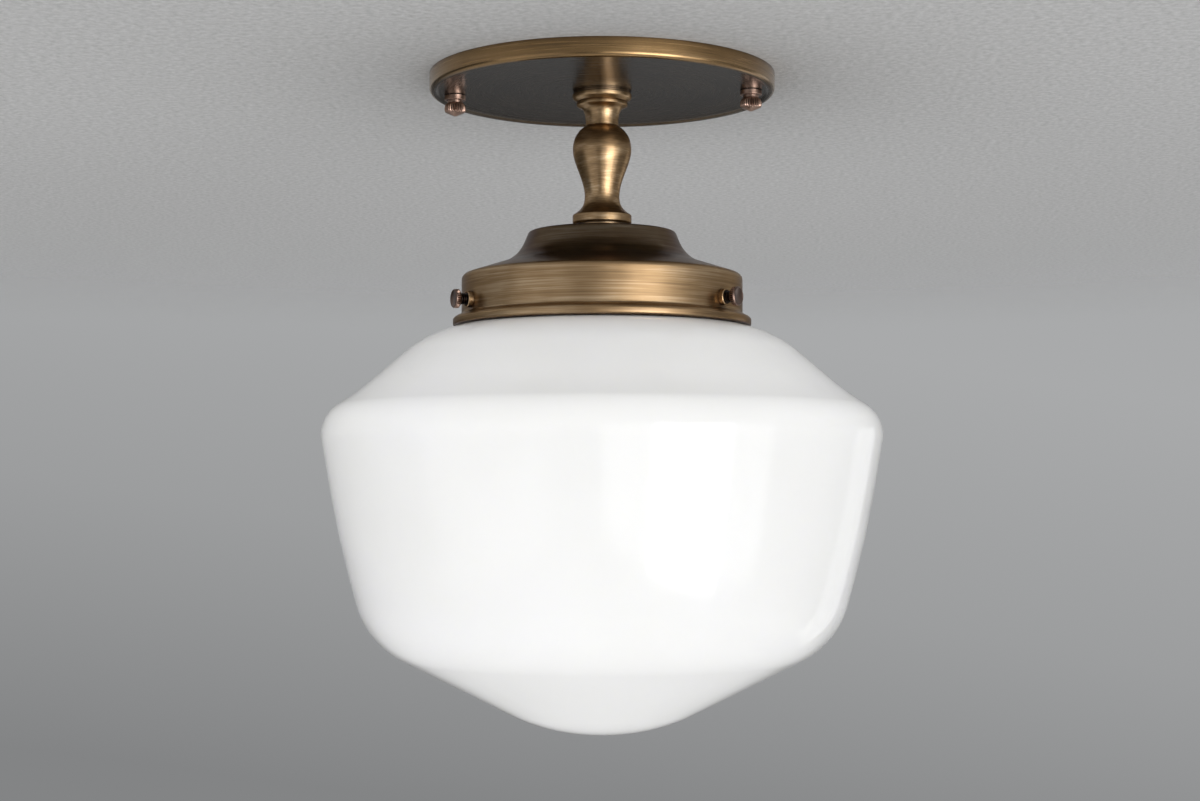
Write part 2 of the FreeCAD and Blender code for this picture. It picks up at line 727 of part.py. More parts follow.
def make_lampholder_body():
    """Porcelain body: a spigot inside the cap, a web, and a skirt round the screw shell."""
    spigot_radius = lamp_cap_radius - lamp_cap_wall - lamp_spigot_gap
    cavity_radius = shell_radius + shell_wall + thread_clearance
    body = turned_corners([(0, web_top_z, 0), (spigot_radius, web_top_z, 0),
                           (spigot_radius, lamp_cap_rim_z, 0),
                           (lamp_body_radius, lamp_cap_rim_z, lamp_body_round),
                           (lamp_body_radius, lamp_body_bottom_z, lamp_body_round),
                           (cavity_radius, lamp_body_bottom_z, 0),
                           (cavity_radius, web_bottom_z, 0), (0, web_bottom_z, 0)])
    post_hole = rod(contact_post_radius + thread_clearance, web_bottom_z, web_top_z)
    lead_hole = rod(lead_radius + thread_clearance, web_bottom_z, web_top_z,
                    -neutral_lead_offset)
    screw_z = (web_top_z + lamp_cap_rim_z) / 2
    screw_holes = [pointing_out(rod(cap_screw_radius + thread_clearance,
                                    lamp_cap_radius - cap_screw_depth - touch_gap,
                                    lamp_cap_radius), angle, screw_z)
                   for angle in (-90, 90)]
    return body.cut([post_hole, lead_hole] + screw_holes)


def make_lampholder_shell():
    """Screw shell: a thin tube with an inward flange against the porcelain web."""
    outer_radius = shell_radius + shell_wall
    bottom_z = lamp_body_bottom_z + shell_short_of_body
    wall = tube(shell_radius, outer_radius, bottom_z, web_bottom_z)
    flange = tube(shell_hole_radius, outer_radius, web_bottom_z - shell_wall, web_bottom_z)
    return wall.fuse(flange).removeSplitter()


def make_lampholder_contact():
    """Centre contact: a plate on the web, a post through it and the button below."""
    plate = rod(contact_plate_radius, web_top_z, web_top_z + contact_plate_height)
    post = rod(contact_post_radius, web_bottom_z, web_top_z)
    button = rod(contact_button_radius, contact_bottom_z, web_bottom_z)
    return plate.fuse([post, button]).removeSplitter()


def make_live_lead():
    """Straight lead from the nipple's top to the centre contact's plate."""
    return rod(lead_radius, web_top_z + contact_plate_height, nipple_top_z - lead_top_gap,
               lead_offset)


def make_neutral_lead():
    """Lead that bends out below the nipple and meets the screw shell's flange."""
    side_step = neutral_lead_offset - lead_offset
    turn = math.acos(1 - side_step / (2 * lead_bend_radius))
    bend_height = 2 * lead_bend_radius * math.sin(turn)
    bend_bottom_z = web_top_z + lead_bend_gap
    bend_top_z = bend_bottom_z + bend_height
    middle = point(-(lead_offset + neutral_lead_offset) / 2, (bend_top_z + bend_bottom_z) / 2)
    top = point(-lead_offset, nipple_top_z - lead_top_gap)
    bend_top = point(-lead_offset, bend_top_z)
    bend_bottom = point(-neutral_lead_offset, bend_bottom_z)
    half_turn = turn / 2
    upper_mid = point(-lead_offset - lead_bend_radius * (1 - math.cos(half_turn)),
                      bend_top_z - lead_bend_radius * math.sin(half_turn))
    lower_mid = point(-neutral_lead_offset + lead_bend_radius * (1 - math.cos(half_turn)),
                      bend_bottom_z + lead_bend_radius * math.sin(half_turn))
    path = Part.Wire([Part.makeLine(top, bend_top),
                      Part.Arc(bend_top, upper_mid, middle).toShape(),
                      Part.Arc(middle, lower_mid, bend_bottom).toShape(),
                      Part.makeLine(bend_bottom, point(-neutral_lead_offset, web_bottom_z))])
    section = Part.Wire(Part.makeCircle(lead_radius, top, FreeCAD.Vector(0, 0, 1)))
    lead = path.makePipeShell([section], True, False)
    expected = math.pi * lead_radius ** 2 * path.Length
    print("neutral lead volume over section times length", round(lead.Volume / expected, 4))
    return lead


# ---- bulb ---------------------------------------------------------------------------------

def make_bulb_contact():
    return rod(bulb_contact_radius, insulator_top_z, bulb_top_z)


def make_bulb_insulator():
    return turned_corners([(0, insulator_top_z, 0), (bulb_contact_radius, insulator_top_z, 0),
                           (bulb_insulator_radius, bulb_screw_top_z, 0), (0, bulb_screw_top_z, 0)])


def make_bulb_screw_cap():
    outer = [(0, bulb_screw_top_z, 0), (bulb_insulator_radius, bulb_screw_top_z, 0),
             (bulb_screw_radius, bulb_screw_top_z - bulb_screw_taper, 0),
             (bulb_screw_radius, housing_top_z, 0)]
    return turned_shell(outer, bulb_screw_wall)


def make_bulb_housing():
    """Flared plastic shell between the screw cap and the diffuser, open at both ends."""
    outer = [(bulb_screw_radius, housing_top_z, 0),
             (bulb_screw_radius, housing_top_z - bulb_housing_neck, bulb_housing_neck_round),
             (bulb_radius, diffuser_top_z + bulb_housing_rim, bulb_housing_rim_round),
             (bulb_radius, diffuser_top_z, 0)]
    return turned_shell(outer, bulb_housing_wall)


def make_bulb_board():
    """Round light-source board, seated just inside the diffuser's rim."""
    radius = bulb_radius - bulb_diffuser_wall - bulb_board_inset
    return rod(radius, diffuser_top_z - bulb_board_thickness, diffuser_top_z)


def make_bulb_diffuser():
    dome_z = diffuser_top_z - bulb_diffuser_straight

    def half_outline(radius):
        straight = Part.makeLine(point(radius, diffuser_top_z), point(radius, dome_z))
        lean = radius * math.sqrt(0.5)
        dome = Part.Arc(point(radius, dome_z), point(lean, dome_z - lean),
                        point(0, dome_z - radius)).toShape()
        return [straight, dome]

    inner_radius = bulb_radius - bulb_diffuser_wall
    ends = [Part.makeLine(point(inner_radius, diffuser_top_z), point(bulb_radius, diffuser_top_z)),
            Part.makeLine(point(0, dome_z - inner_radius), point(0, dome_z - bulb_radius))]
    return turned(half_outline(bulb_radius) + half_outline(inner_radius) + ends)


# ---- every node ---------------------------------------------------------------------------

def main():
    os.makedirs("parts", exist_ok=True)
    save(make_crossbar(), "crossbar")
    save(make_canopy_studs(), "canopy_studs")
    save(make_stud_nuts(), "stud_nuts")
    save(make_ground_screw(), "ground_screw")
    save(make_canopy(), "canopy")
    for side, name in ((-1, "left"), (1, "right")):
        for make_piece, piece in ((make_knob_collar, "collar"), (make_knob_head, "head")):
            shape = make_piece()
            shape.translate(FreeCAD.Vector(side * stud_x, 0, 0))
            save(shape, "canopy_knob_" + piece + "_" + name)
    save(make_nipple(), "stem_nipple")
    save(make_lock_washer(canopy_inside_z), "lock_washer_top")
    save(make_nipple_nut(top_nut_z), "nipple_nut_top")
    save(make_neck_collar(), "neck_collar")
    save(make_neck_baluster(), "neck_baluster")
    save(make_neck_foot(), "neck_foot_ring")
    save(make_shade_holder(), "shade_holder")
    save(make_screw_bosses(), "screw_bosses")
    save(make_lock_washer(bottom_nut_top_z), "lock_washer_bottom")
    save(make_nipple_nut(hub_top_z), "nipple_nut_bottom")
    for number, angle in enumerate(thumb_screw_angles(), start=1):
        save(make_thumb_screw_shank(angle), "thumb_screw_shank_%d" % number)
        save(make_thumb_screw_head(angle), "thumb_screw_head_%d" % number)
    save(make_shade(), "shade")
    save(make_lampholder_cap(), "lampholder_cap")
    save(make_cap_screws(), "cap_screws")
    save(make_lampholder_body(), "lampholder_body")
    save(make_lampholder_shell(), "lampholder_shell")
    save(make_lampholder_contact(), "lampholder_contact")
    save(make_live_lead(), "lead_live")
    save(make_neutral_lead(), "lead_neutral")
    save(make_bulb_contact(), "bulb_contact")
    save(make_bulb_insulator(), "bulb_insulator")
    save(make_bulb_screw_cap(), "bulb_screw_cap")
    save(make_bulb_housing(), "bulb_housing")
    save(make_bulb_board(), "bulb_board")
    save(make_bulb_diffuser(), "bulb_diffuser")


main()
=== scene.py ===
import bpy
import bmesh
import math
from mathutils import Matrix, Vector
from mathutils.geometry import interpolate_bezier


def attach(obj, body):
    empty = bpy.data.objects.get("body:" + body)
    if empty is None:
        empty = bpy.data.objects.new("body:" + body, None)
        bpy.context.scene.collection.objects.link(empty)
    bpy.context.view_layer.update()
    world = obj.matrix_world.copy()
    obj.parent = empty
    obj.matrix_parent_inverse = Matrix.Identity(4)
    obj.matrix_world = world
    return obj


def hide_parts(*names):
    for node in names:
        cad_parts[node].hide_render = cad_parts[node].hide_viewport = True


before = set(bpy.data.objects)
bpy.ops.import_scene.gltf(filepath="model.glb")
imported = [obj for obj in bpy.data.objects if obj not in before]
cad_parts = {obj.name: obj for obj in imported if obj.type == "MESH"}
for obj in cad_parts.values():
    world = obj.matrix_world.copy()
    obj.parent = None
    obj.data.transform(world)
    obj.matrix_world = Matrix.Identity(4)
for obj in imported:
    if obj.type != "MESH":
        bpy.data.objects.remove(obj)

# Semi flush ceiling light with an opal glass schoolhouse shade. The frame's CAD nodes keep their
# places, and the turned, knurled and threaded pieces are modelled again here with their fine
# detail. Their sizes are millimetres in this script and become metres as each piece is made. The
# studio's are metres.

MM = 0.001
bpy.context.view_layer.update()
scene = bpy.context.scene

# The places that the pieces share, from the part's own sizes
CANOPY_UNDERSIDE = -6.0
STUD_X = 54.75
COLLAR_FOOT = -18.4
BALUSTER_FOOT = -51.1
HOLDER_TOP = -57.9
SHADE_TOP = -76.6
THUMB_SCREW_Z = -84.58
THUMB_SCREW_ANGLES = {1: 90, 2: 210, 3: 330}

# Sizes that come more than once
CLAMP_HOLE = 5.0        # radius of the hole that the nipple goes through
SCREW_HOLE = 2.14       # radius of a hole for an 8-32 screw or stud
SCREW_CREST = 2.08      # radius of such a screw over its thread
SCREW_PITCH = 0.794
SPUN_SIDES = 192        # round the canopy, the shade holder and the glass
BAR_SIDES = 128         # round the stem's pieces
KNURLS = 26             # ridges round a head
HEAD_SIDES = 4 * KNURLS
HEAD_CREASE = 50        # degrees, at which a head's edge is sharp

# The patina on the brass. The lines of a real brush are near 0.1 mm wide, which is too fine to
# show in a render, so they are drawn as coarse as this.
LINE_MM = 0.45
WIDE_LINE_MM = 2.025    # streaks where more or less of the patina was rubbed off
CREVICE_MM = 2.5        # how far the patina and painted shade reach out of a corner


# ---- materials ----------------------------------------------------------------------------

def colour(code):
    """An sRGB hex code as a linear colour."""
    parts = [int(code[i:i + 2], 16) / 255 for i in (1, 3, 5)]
    linear = [c / 12.92 if c <= 0.04045 else ((c + 0.055) / 1.055) ** 2.4 for c in parts]
    return (*linear, 1.0)


def add(tree, kind, links=None, values=None, stops=(), **settings):
    """Adds one node: what feeds its sockets, its other sockets' own values, a colour ramp's
    stops and its settings."""
    made = tree.nodes.new(kind)
    for name, value in settings.items():
        setattr(made, name, value)
    for index, (place, code) in enumerate(stops):
        if index > 1:
            made.color_ramp.elements.new(1.0)
        made.color_ramp.elements[index].position = place
        made.color_ramp.elements[index].color = colour(code)
    for name, value in (values or {}).items():
        made.inputs[name].default_value = value
    for name, source in (links or {}).items():
        tree.links.new(source, made.inputs[name])
    return made


def new_material(name):
    """A new material, its empty tree, and the place on the object that its patterns go by."""
    material = bpy.data.materials.new(name)
    material.use_nodes = True
    tree = material.node_tree
    tree.nodes.clear()
    return material, tree, add(tree, "ShaderNodeTexCoord").outputs["Object"]


def finish_material(tree, shader):
    add(tree, "ShaderNodeOutputMaterial", {"Surface": shader.outputs[0]})


def from_axis(tree, where):
    """A place's level part, and how far it is from the upright axis."""
    level = add(tree, "ShaderNodeVectorMath", {0: where}, {1: (1, 1, 0)}, operation="MULTIPLY")
    reach = add(tree, "ShaderNodeVectorMath", {0: level.outputs[0]}, operation="LENGTH")
    return level.outputs[0], reach.outputs["Value"]


def lathe_lines(tree, where, line_mm, sweep, detail, roughness):
    """Streaks that run round the upright axis, as a lathe or a brush leaves them on turned
    metal. A larger sweep breaks them up into shorter ones."""
    level, reach = from_axis(tree, where)
    lines_per_metre = 1 / (line_mm * MM)
    round_axis = add(tree, "ShaderNodeVectorMath", {0: level}, operation="NORMALIZE")
    swept = add(tree, "ShaderNodeVectorMath", {0: round_axis.outputs[0]}, {"Scale": sweep},
                operation="SCALE")
    height = add(tree, "ShaderNodeVectorMath", {0: where}, {1: (0, 0, lines_per_metre)},
                 operation="MULTIPLY")
    place = add(tree, "ShaderNodeVectorMath", {0: swept.outputs[0], 1: height.outputs[0]},
                operation="ADD")
    across = add(tree, "ShaderNodeMath", {0: reach}, {1: lines_per_metre}, operation="MULTIPLY")
    lines = add(tree, "ShaderNodeTexNoise",
                {"Vector": place.outputs[0], "W": across.outputs[0]},
                {"Scale": 1.0, "Detail": detail, "Roughness": roughness}, noise_dimensions="4D")
    return lines.outputs["Fac"]


def corner_patina_and_painted_shade(tree, tone, dark, corner_mm, shut_in, open_air):
    """A tone that goes dark in corners and hollows: painted shade, and on brass the patina there.
    """
    air = add(tree, "ShaderNodeAmbientOcclusion", values={"Distance": corner_mm * MM},
              samples=6)
    lit_share = add(tree, "ShaderNodeMapRange", {"Value": air.outputs["AO"]},
                {"From Min": shut_in, "From Max": open_air})
    mixed = add(tree, "ShaderNodeMix", {"Factor": lit_share.outputs[0], 7: tone},
                {6: colour(dark)}, data_type="RGBA")
    return mixed.outputs[2]


def brushed_brass(name, bright, middle, dark, roughness, edge, patina_and_shade_zone=None):
    """Brass that was turned, darkened with a patina, rubbed back and lacquered: fine lines run
    round it, the rubbed metal is golden, and the patina stays brown in the lines. Every corner
    goes dark with patina and painted shade. The edge colour is what it mirrors at a low angle. A
    flat or hollow darkened further by patina and painted shade is told by "radius" or "height",
    where it is clear and where it is darkest, in millimetres, and the tint that darkens it."""
    material, tree, where = new_material(name)
    fine = lathe_lines(tree, where, LINE_MM, sweep=2.2, detail=2.0, roughness=0.6)
    wide = lathe_lines(tree, where, WIDE_LINE_MM, sweep=1.1, detail=1.0, roughness=0.5)
    cloud = add(tree, "ShaderNodeTexNoise", {"Vector": where},
                {"Scale": 1 / (26 * MM), "Detail": 3.0, "Roughness": 0.55})
    lines = add(tree, "ShaderNodeMix", {2: fine, 3: wide}, {"Factor": 0.45}, data_type="FLOAT")
    mottled = add(tree, "ShaderNodeMix", {2: lines.outputs[0], 3: cloud.outputs["Fac"]},
                  {"Factor": 0.25}, data_type="FLOAT")
    spread = add(tree, "ShaderNodeMapRange", {"Value": mottled.outputs[0]},
                 {"From Min": 0.25, "From Max": 0.75})
    tone = add(tree, "ShaderNodeValToRGB", {"Fac": spread.outputs[0]},
               stops=[(0.0, dark), (0.5, middle), (1.0, bright)])
    # corners and hollows darkened: patina, with painted shade over it
    base = corner_patina_and_painted_shade(tree, tone.outputs["Color"], dark, CREVICE_MM, shut_in=0.35,
                           open_air=0.85)
    # patina and painted shade: a tint multiplied in over a zone, by radius or by height
    if patina_and_shade_zone:
        measure, clear_at, dark_at, tint = patina_and_shade_zone
        if measure == "height":
            reach = add(tree, "ShaderNodeSeparateXYZ", {0: where}).outputs["Z"]
        else:
            reach = from_axis(tree, where)[1]
        patina = add(tree, "ShaderNodeMapRange", {"Value": reach},
                     {"From Min": clear_at * MM, "From Max": dark_at * MM})
        base = add(tree, "ShaderNodeMix", {"Factor": patina.outputs[0], 6: base},
                   {7: colour(tint)}, data_type="RGBA", blend_type="MULTIPLY").outputs[2]
    grain = add(tree, "ShaderNodeMapRange", {"Value": fine},
                {"To Min": roughness - 0.05, "To Max": roughness + 0.07})
    bump = add(tree, "ShaderNodeBump", {"Height": lines.outputs[0]},
               {"Strength": 0.12, "Distance": 0.03 * MM})
    along = add(tree, "ShaderNodeTangent", direction_type="RADIAL", axis="Z")
    shader = add(tree, "ShaderNodeBsdfPrincipled",
                 {"Base Color": base, "Roughness": grain.outputs[0],
                  "Normal": bump.outputs[0], "Tangent": along.outputs[0]},
                 {"Metallic": 1.0, "Anisotropic": 0.3, "Anisotropic Rotation": 0.25,
                  "Specular Tint": colour(edge), "Coat Weight": 0.5, "Coat Roughness": 0.2})
    finish_material(tree, shader)
    return material


def plain_metal(name, tone, dip, dark, roughness, grain_mm=0.6, corner_mm=1.2):
    """Rolled, drawn or plated metal: a soft grain between its colour and a slightly duller one,
    and corners darkened with painted shade. A real grain is too fine to show, so it is drawn this
    coarse."""
    material, tree, where = new_material(name)
    grain = add(tree, "ShaderNodeTexNoise", {"Vector": where},
                {"Scale": 1 / (grain_mm * MM), "Detail": 3.0, "Roughness": 0.6})
    cloud = add(tree, "ShaderNodeTexNoise", {"Vector": where},
                {"Scale": 1 / (9 * MM), "Detail": 2.0})
    mixed = add(tree, "ShaderNodeMix", {2: grain.outputs["Fac"], 3: cloud.outputs["Fac"]},
                {"Factor": 0.5}, data_type="FLOAT")
    shade = add(tree, "ShaderNodeValToRGB", {"Fac": mixed.outputs[0]},
                stops=[(0.35, dip), (0.62, tone)])
    # painted shade: corners and hollows go over to the dark colour
    base = corner_patina_and_painted_shade(tree, shade.outputs["Color"], dark, corner_mm, shut_in=0.45,
                           open_air=0.9)
    rough = add(tree, "ShaderNodeMapRange", {"Value": mixed.outputs[0]},
                {"To Min": roughness - 0.08, "To Max": roughness + 0.1})
    bump = add(tree, "ShaderNodeBump", {"Height": grain.outputs["Fac"]},
               {"Strength": 0.06, "Distance": 0.03 * MM})
    shader = add(tree, "ShaderNodeBsdfPrincipled",
                 {"Base Color": base, "Roughness": rough.outputs[0], "Normal": bump.outputs[0]},
                 {"Metallic": 1.0})
    finish_material(tree, shader)
    return material


def moulded(name, tone, dip, roughness, grain_mm, relief, ior=1.5, coat=0.0):
    """Moulded plastic, glazed porcelain or rubbery insulation: an even colour with a faint
    unevenness, and the skin that its mould or glaze gave it. A plastic's texture is drawn
    coarser than the real one, so that it shows."""
    material, tree, where = new_material(name)
    skin = add(tree, "ShaderNodeTexNoise", {"Vector": where},
               {"Scale": 1 / (grain_mm * MM), "Detail": 2.0})
    cloud = add(tree, "ShaderNodeTexNoise", {"Vector": where}, {"Scale": 1 / (14 * MM)})
    base = add(tree, "ShaderNodeValToRGB", {"Fac": cloud.outputs["Fac"]},
               stops=[(0.35, dip), (0.6, tone)])
    rough = add(tree, "ShaderNodeMapRange", {"Value": skin.outputs["Fac"]},
                {"To Min": max(roughness - 0.05, 0.02), "To Max": roughness + 0.06})
    bump = add(tree, "ShaderNodeBump", {"Height": skin.outputs["Fac"]},
               {"Strength": relief, "Distance": 0.05 * MM})
    shader = add(tree, "ShaderNodeBsdfPrincipled",
                 {"Base Color": base.outputs["Color"], "Roughness": rough.outputs[0],
                  "Normal": bump.outputs[0]},
                 {"IOR": ior, "Coat Weight": coat, "Coat Roughness": 0.05})
    finish_material(tree, shader)
    return material


def blown_opal_glass():
    """Opal glass, blown in a mould: milk white all through, with a fire-polished skin that is not
    quite even, so reflections of the lamps are clear and waver a little."""
    material, tree, where = new_material("blown_opal_glass")
    waver = add(tree, "ShaderNodeTexNoise", {"Vector": where},
                {"Scale": 1 / (38 * MM), "Detail": 1.0, "Roughness": 0.4})
    milk = add(tree, "ShaderNodeTexNoise", {"Vector": where},
               {"Scale": 1 / (60 * MM), "Detail": 2.0})
    base = add(tree, "ShaderNodeValToRGB", {"Fac": milk.outputs["Fac"]},
               stops=[(0.3, "#F3F3F1"), (0.7, "#F8F8F6")])
    bump = add(tree, "ShaderNodeBump", {"Height": waver.outputs["Fac"]},
               {"Strength": 0.3, "Distance": 0.6 * MM})
    shader = add(tree, "ShaderNodeBsdfPrincipled",
                 {"Base Color": base.outputs["Color"], "Normal": bump.outputs[0]},
                 {"Roughness": 0.1, "IOR": 1.5, "Subsurface Weight": 1.0,
                  "Subsurface Radius": (1.0, 1.0, 0.95), "Subsurface Scale": 4 * MM})
    finish_material(tree, shader)
    return material


# Turned from bar and rubbed back all over: golden, with brown lines and corners
antique_brass = brushed_brass("brushed_antique_brass", "#E6CFAE", "#A98A63", "#5F4C39",
                              roughness=0.33, edge="#A28A6E")
# The same on spun sheet: a golden band and lip, and a dome dulled by patina and painted shade
holder_brass = brushed_brass("brushed_antique_brass_spun", "#E6CFAE", "#A98A63", "#5F4C39",
                             roughness=0.35, edge="#8C7A66",
                             patina_and_shade_zone=("height", -75.2, -71.0, "#A9AEB8"))
# The same on a pressed pan: a golden rim, and a flat underside darkened by patina and painted
# shade
canopy_brass = brushed_brass("brushed_antique_brass_canopy", "#C8A67A", "#98794F", "#5A4730",
                             roughness=0.25, edge="#FFFFFF",
                             patina_and_shade_zone=("radius", 62.9, 61.4, "#8E929C"))
# Knurled and left bare: rosy brown ridges that shine, and grooves nearly black with painted shade
copper_brass = plain_metal("knurled_copper_brass", "#B4988A", "#A08474", "#1E1511",
                           roughness=0.3, grain_mm=0.5, corner_mm=0.9)
# The same where no hand rubs it, on a screw's end: dull brown
aged_copper = plain_metal("aged_copper_brass", "#7E6A60", "#6C5A52", "#241914",
                          roughness=0.3, grain_mm=0.5)
# Zinc plate: an even pale grey with a soft shine
zinc_steel = plain_metal("zinc_plated_steel", "#C9CBCC", "#A9ABAD", "#6E7174",
                         roughness=0.33)
# Blackened in oil: a brown black, with painted shade in the thread's roots, shining on the crests
dark_steel = plain_metal("oil_blackened_steel", "#4A3F38", "#352C27", "#15110F",
                         roughness=0.38, grain_mm=0.3, corner_mm=0.6)
opal_glass = blown_opal_glass()

CAD_FINISHES = {
    "antique_brass": antique_brass,
    "copper_brass": copper_brass,
    "zinc_steel": zinc_steel,
    "dark_steel": dark_steel,
    "opal_glass": opal_glass,
    # Dyed zinc plate: a clear green over metal
    "green_paint": plain_metal("green_dyed_steel", "#2E7A46", "#25653A", "#12351F",
                               roughness=0.35),
    # Drawn: pale, smooth and bright
    "bright_aluminium": plain_metal("drawn_aluminium", "#D8DADB", "#BFC1C3", "#85878A",
                                    roughness=0.25),
    # Stamped and left bright: yellow and smooth
    "contact_brass": plain_metal("bright_contact_brass", "#D9B66A", "#C09C56", "#75592A",
                                 roughness=0.25),
    # Glazed and fired: a warm white under a wet, clear skin
    "porcelain": moulded("white_glazed_porcelain", "#F0EEE7", "#E6E3DA", roughness=0.12,
                         grain_mm=3.0, relief=0.08, ior=1.52, coat=0.4),
    # Extruded over the wire: half matt and a little uneven
    "lead_black": moulded("black_wire_insulation", "#1B1B1C", "#121213", roughness=0.45,
                          grain_mm=0.5, relief=0.2),
    "lead_white": moulded("white_wire_insulation", "#DEDDD8", "#CFCEC8", roughness=0.45,
                          grain_mm=0.5, relief=0.2),
    # Moulded from black glass: deep and glossy
    "black_glass": moulded("black_moulded_insulator", "#17171A", "#0E0E10", roughness=0.12,
                           grain_mm=1.5, relief=0.06),
    # Moulded with a fine spark-eroded texture: satin white
    "white_plastic": moulded("white_moulded_plastic", "#EDEDE9", "#E3E3DE", roughness=0.3,
                             grain_mm=0.4, relief=0.12),
    # Screen-printed on the board: an even white, hardly shiny
    "light_board": moulded("white_solder_mask", "#F2F2EC", "#E8E8E0", roughness=0.35,
                           grain_mm=0.3, relief=0.1),
    # Frosted inside its mould: a soft matt white
    "diffuser_plastic": moulded("frosted_diffuser_plastic", "#F1F1EC", "#E9E9E2",
                                roughness=0.5, grain_mm=0.3, relief=0.15),
}


def finish_cad_nodes():
    """Gives each CAD node its real finish in place of the flat one that it came with."""
    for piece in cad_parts.values():
        came_with = piece.data.materials[0].name.split(".")[0]
        piece.data.materials[0] = CAD_FINISHES[came_with]
    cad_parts["canopy"].data.materials[0] = canopy_brass


finish_cad_nodes()


# ---- turned and threaded pieces -----------------------------------------------------------

def rounded(corners, arc_step=9):
    """The points of an outline whose corners are (radius, height, rounding)."""
    points = []
    for index, (radius, height, rounding) in enumerate(corners):
        if not rounding:
            points.append(Vector((radius, height)))
            continue
        corner = Vector((radius, height))
        back = (Vector(corners[index - 1][:2]) - corner).normalized()
        ahead = (Vector(corners[index + 1][:2]) - corner).normalized()
        half = back.angle(ahead) / 2
        centre = corner + (back + ahead).normalized() * rounding / math.sin(half)
        first = corner + back * rounding / math.tan(half) - centre
        last = corner + ahead * rounding / math.tan(half) - centre
        begin = math.atan2(first.y, first.x)
        turn = (math.atan2(last.y, last.x) - begin + math.pi) % (2 * math.pi) - math.pi
        count = max(2, math.ceil(abs(math.degrees(turn)) / arc_step))
        for step in range(count + 1):
            angle = begin + turn * step / count
            points.append(centre + rounding * Vector((math.cos(angle), math.sin(angle))))
    return points


def curved(start, start_pull, end_pull, end, count=18):
    """The points of a smooth curve between two places, pulled towards two others."""
    return interpolate_bezier(Vector(start), Vector(start_pull), Vector(end_pull), Vector(end),
                              count)


def wall_inside(points, wall):
    """The inner side of a wall whose outer side is this outline, from its end to its start."""
    moved = []
    for index, here in enumerate(points):
        along = points[min(index + 1, len(points) - 1)] - points[max(index - 1, 0)]
        moved.append(here + Vector((along.y, -along.x)).normalized() * wall)
    return moved[::-1]


def select(*pieces):
    """Selects these pieces alone, the first as the active one."""
    bpy.ops.object.select_all(action="DESELECT")
    for piece in pieces:
        piece.select_set(True)
    bpy.context.view_layer.objects.active = pieces[0]


def draw_outline(name, points):
    """Draws an outline in the XZ plane, point by point, and stays in edit mode."""
    bpy.ops.object.select_all(action="DESELECT")
    bpy.ops.mesh.primitive_plane_add(size=MM, location=(0, 0, 0))
    piece = bpy.context.object
    piece.name = piece.data.name = name
    bpy.ops.object.mode_set(mode="EDIT")
    bpy.ops.mesh.select_all(action="SELECT")
    bpy.ops.mesh.merge(type="CENTER")
    bpy.ops.transform.translate(value=(points[0][0] * MM, 0, points[0][1] * MM))
    for before, after in zip(points, points[1:]):
        step = ((after[0] - before[0]) * MM, 0, (after[1] - before[1]) * MM)
        bpy.ops.mesh.extrude_vertices_move(TRANSFORM_OT_translate={"value": step})
    return piece


def close_up():
    """Merges what meets and turns every face outwards."""
    bpy.ops.mesh.select_all(action="SELECT")
    bpy.ops.mesh.remove_doubles(threshold=0.001 * MM)
    bpy.ops.mesh.normals_make_consistent(inside=False)


def turn_on_lathe(name, points, sides):
    """Spins an outline once round the Z axis. A ring's outline ends where it starts, and a solid
    one's starts and ends on the axis."""
    piece = draw_outline(name, points)
    bpy.ops.mesh.select_all(action="SELECT")
    bpy.ops.mesh.spin(steps=sides, angle=2 * math.pi, center=(0, 0, 0), axis=(0, 0, 1))
    close_up()
    bpy.ops.object.mode_set(mode="OBJECT")
    return piece


def turn_ring(name, points, sides):
    return turn_on_lathe(name, list(points) + [points[0]], sides)


def cut_thread(name, root, low, high):
    """An 8-32 screw or stud along Z: one pitch of its thread is drawn, wound upwards and cut off
    flat at both ends."""
    crest, pitch = SCREW_CREST, SCREW_PITCH
    start = low - 1.5 * pitch
    ridge = [(root, start), (root, start + 0.12 * pitch), (crest, start + 0.45 * pitch),
             (crest, start + 0.58 * pitch), (root, start + 0.91 * pitch), (root, start + pitch)]
    piece = draw_outline(name, ridge)
    bpy.ops.object.mode_set(mode="OBJECT")
    winding = piece.modifiers.new("winding", "SCREW")
    winding.screw_offset = pitch * MM
    winding.iterations = math.ceil((high - low) / pitch) + 3
    winding.steps = winding.render_steps = 20
    bpy.ops.object.modifier_apply(modifier=winding.name)
    bpy.ops.object.mode_set(mode="EDIT")
    close_up()
    for height, upward in ((low, -1), (high, 1)):
        bpy.ops.mesh.select_all(action="SELECT")
        bpy.ops.mesh.bisect(plane_co=(0, 0, height * MM), plane_no=(0, 0, upward),
                            use_fill=True, clear_outer=True)
    close_up()
    bpy.ops.object.mode_set(mode="OBJECT")
    return piece


def cut_flutes(piece, core, bands):
    """Presses flutes into a head turned with four sides to each ridge: the side in the middle
    between two ridges goes in all the way, and its two neighbours less. Each band is its lowest
    and highest point, and how deep the flutes are there: a little deeper than a real knurl's, so
    that they show. What is within the core stays."""
    select(piece)
    bpy.ops.object.mode_set(mode="EDIT")
    for low, high, depth in bands:
        for place, share in ((2, 1.0), (1, 0.45), (3, 0.45)):
            bpy.ops.mesh.select_all(action="DESELECT")
            mesh = bmesh.from_edit_mesh(piece.data)
            radius = 0
            for vertex in mesh.verts:
                x, y, z = vertex.co / MM
                side = round(math.atan2(y, x) / (2 * math.pi) * HEAD_SIDES)
                outside = math.hypot(x, y) > core
                if low - 0.01 <= z <= high + 0.01 and side % 4 == place and outside:
                    vertex.select = True
                    radius = max(radius, math.hypot(x, y))
            mesh.select_flush_mode()
            bmesh.update_edit_mesh(piece.data)
            if radius:
                narrow = 1 - depth * share / radius
                bpy.ops.transform.resize(value=(narrow, narrow, 1), center_override=(0, 0, 0))
    bpy.ops.object.mode_set(mode="OBJECT")


def settle(piece, location, turned=(0, 0, 0)):
    """Puts a piece where it belongs and leaves its object at the origin."""
    select(piece)
    piece.location = [value * MM for value in location]
    piece.rotation_euler = [math.radians(angle) for angle in turned]
    bpy.ops.object.transform_apply(location=True, rotation=True, scale=True)


